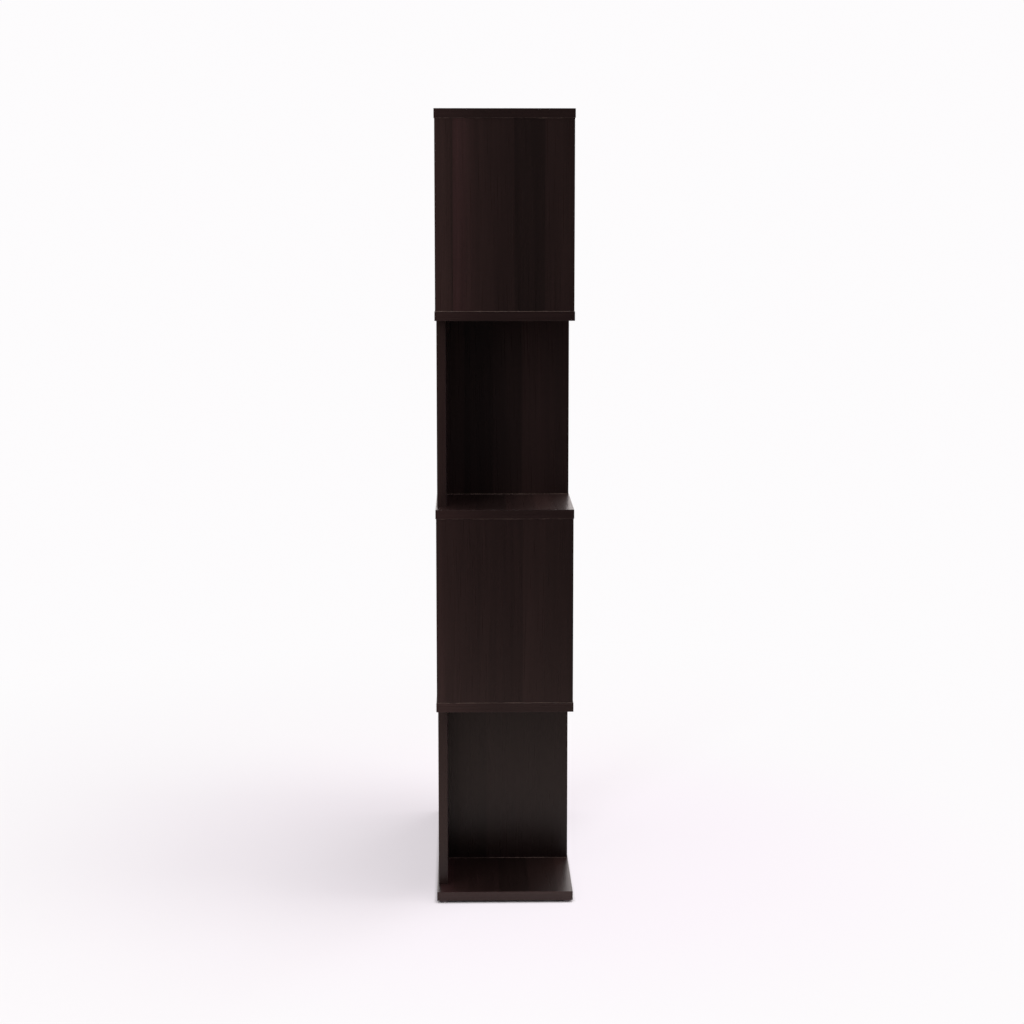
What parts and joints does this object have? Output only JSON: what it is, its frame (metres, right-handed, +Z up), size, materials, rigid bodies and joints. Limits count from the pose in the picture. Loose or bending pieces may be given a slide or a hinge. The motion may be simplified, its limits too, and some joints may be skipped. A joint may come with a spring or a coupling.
{
  "type": "shelving unit",
  "caption": "Tall narrow shelving unit of dark woodgrain board, with closed cubes and open bays that swap ends from tier to tier.",
  "frame": {"origin": "on the floor under the middle of the unit", "axes": "+X along the length, away from the end that the picture shows; +Y to the back; +Z up"},
  "size_m": [0.6, 0.24, 1.386],
  "materials": {
    "laminated_board": "particle board faced with dark espresso woodgrain laminate, satin",
    "edge_band": "dark espresso woodgrain plastic edge band",
    "cast_zinc": "bright die cast zinc",
    "plated_steel": "zinc plated",
    "beech": "bare beech",
    "glide_plastic": "moulded dark brown plastic"
  },
  "bodies": {
    "root": {"bottom_board": "laminated_board", "bottom_board_edge_bands": "edge_band", "lower_shelf": "laminated_board", "lower_shelf_edge_bands": "edge_band", "middle_shelf": "laminated_board", "middle_shelf_edge_bands": "edge_band", "upper_shelf": "laminated_board", "upper_shelf_edge_bands": "edge_band", "top_board": "laminated_board", "top_board_edge_bands": "edge_band", "bottom_tier_end_panel": "laminated_board", "bottom_tier_end_panel_edge_bands": "edge_band", "bottom_tier_divider": "laminated_board", "bottom_tier_divider_edge_band": "edge_band", "bottom_tier_back_panel": "laminated_board", "bottom_tier_back_panel_edge_band": "edge_band", "bottom_tier_cam_locks": "cast_zinc", "bottom_tier_cam_bolts": "plated_steel", "bottom_tier_dowels": "beech", "second_tier_end_panel": "laminated_board", "second_tier_end_panel_edge_bands": "edge_band", "second_tier_divider": "laminated_board", "second_tier_divider_edge_band": "edge_band", "second_tier_back_panel": "laminated_board", "second_tier_back_panel_edge_band": "edge_band", "second_tier_cam_locks": "cast_zinc", "second_tier_cam_bolts": "plated_steel", "second_tier_dowels": "beech", "third_tier_end_panel": "laminated_board", "third_tier_end_panel_edge_bands": "edge_band", "third_tier_divider": "laminated_board", "third_tier_divider_edge_band": "edge_band", "third_tier_back_panel": "laminated_board", "third_tier_back_panel_edge_band": "edge_band", "third_tier_cam_locks": "cast_zinc", "third_tier_cam_bolts": "plated_steel", "third_tier_dowels": "beech", "top_tier_end_panel": "laminated_board", "top_tier_end_panel_edge_bands": "edge_band", "top_tier_divider": "laminated_board", "top_tier_divider_edge_band": "edge_band", "top_tier_back_panel": "laminated_board", "top_tier_back_panel_edge_band": "edge_band", "top_tier_cam_locks": "cast_zinc", "top_tier_cam_bolts": "plated_steel", "top_tier_dowels": "beech", "foot_glides": "glide_plastic", "glide_nails": "plated_steel"}
  },
  "joints": []
}
